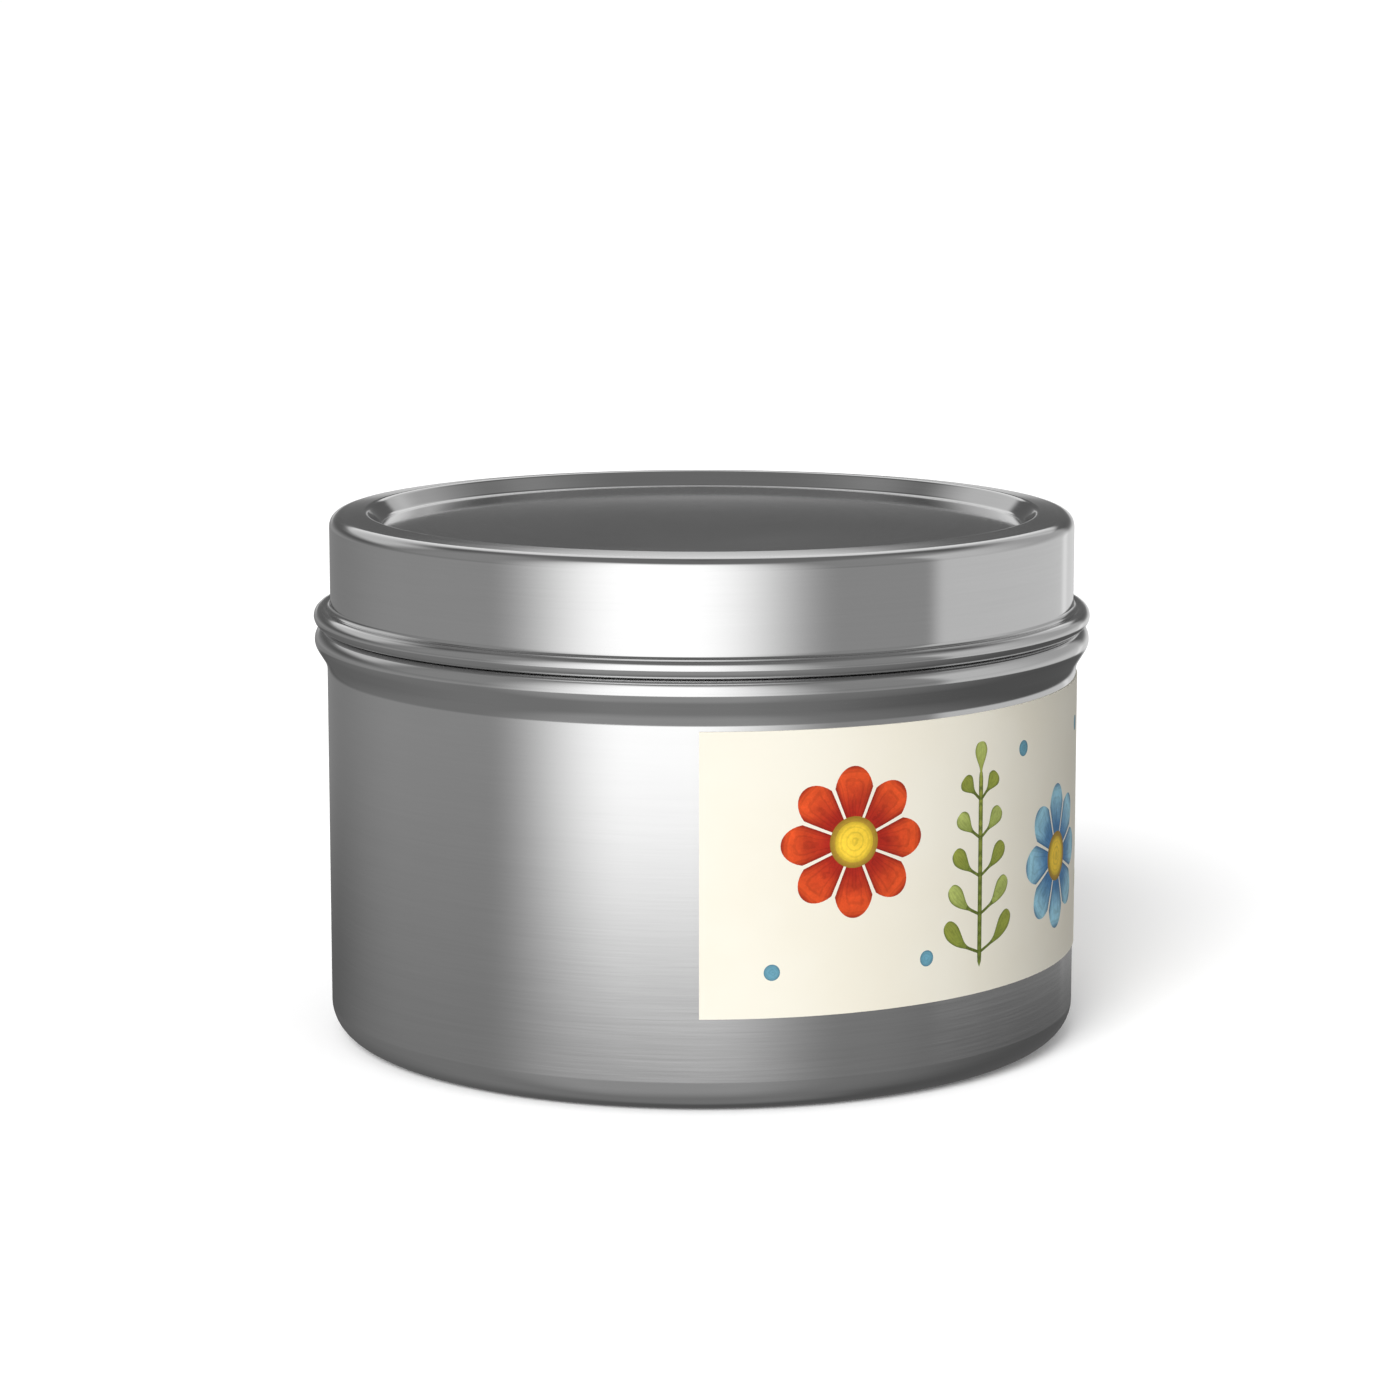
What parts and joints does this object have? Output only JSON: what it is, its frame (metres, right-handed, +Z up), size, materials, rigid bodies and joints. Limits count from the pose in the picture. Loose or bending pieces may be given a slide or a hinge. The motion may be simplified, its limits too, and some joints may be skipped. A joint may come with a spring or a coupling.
{
  "type": "candle tin",
  "caption": "Round slip-lid candle tin: drawn body with a bead, recessed lid with a rolled hem, wrapped paper label, poured wax and an upright cored wick.",
  "frame": {"origin": "on the tin's own axis, in the plane of the foot ring that it stands on", "axes": "+Z up along the tin's axis and the way the lid comes off; -Y is the front, where the label's first edge is; the label runs from there through +X to the back"},
  "size_m": [0.0796, 0.0796, 0.0539],
  "materials": {
    "tinplate": "satin",
    "label_paper": "matte",
    "wax": "satin",
    "cotton": "matte",
    "core_paper": "matte",
    "tab_metal": "satin",
    "adhesive_foam": "matte"
  },
  "bodies": {
    "tin": {"tin_body": "tinplate", "side_label": "label_paper", "wax_fill": "wax", "wick_braid": "cotton", "wick_core": "core_paper", "wick_sustainer": "tab_metal", "wick_sticker": "adhesive_foam"},
    "lid": {"lid": "tinplate"}
  },
  "joints": [
    {"name": "lid_lift", "type": "slide", "parent": "tin", "child": "lid", "axis": [0, 0, 1], "range_m": [0, 0.045]}
  ]
}
